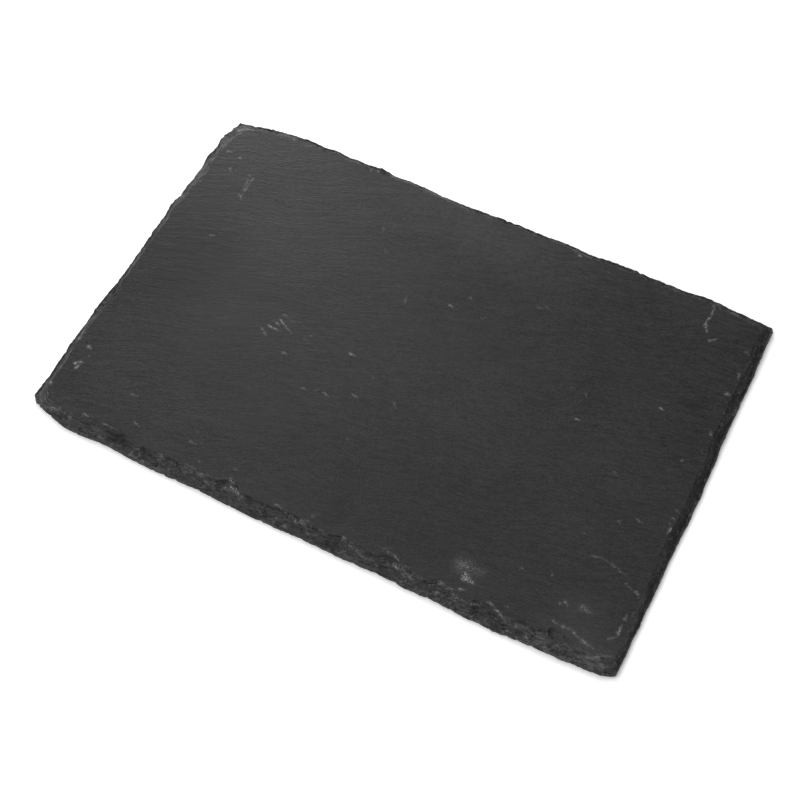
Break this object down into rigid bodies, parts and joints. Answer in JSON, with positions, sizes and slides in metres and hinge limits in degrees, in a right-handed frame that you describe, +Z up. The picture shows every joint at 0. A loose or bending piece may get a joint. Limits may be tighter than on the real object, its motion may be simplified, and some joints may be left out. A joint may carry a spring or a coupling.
{
  "type": "slate serving board",
  "caption": "Rectangular split-slate serving board with hand-chipped edges, standing on small round self-adhesive rubber feet.",
  "frame": {"origin": "on the surface the feet stand on, below the middle of the board", "axes": "+X along the long side, +Y from the front side to the back side, +Z up out of the serving face"},
  "size_m": [0.302, 0.202, 0.0072],
  "materials": {
    "slate": "riven, unsealed, with chalky bruises on the chipped edge",
    "foot_rubber": "matt moulded rubber",
    "adhesive": "thin milky adhesive film"
  },
  "bodies": {
    "root": {"slate_slab": "slate", "front_left_foot": "foot_rubber", "front_right_foot": "foot_rubber", "back_left_foot": "foot_rubber", "back_right_foot": "foot_rubber", "front_left_adhesive": "adhesive", "front_right_adhesive": "adhesive", "back_left_adhesive": "adhesive", "back_right_adhesive": "adhesive"}
  },
  "joints": []
}
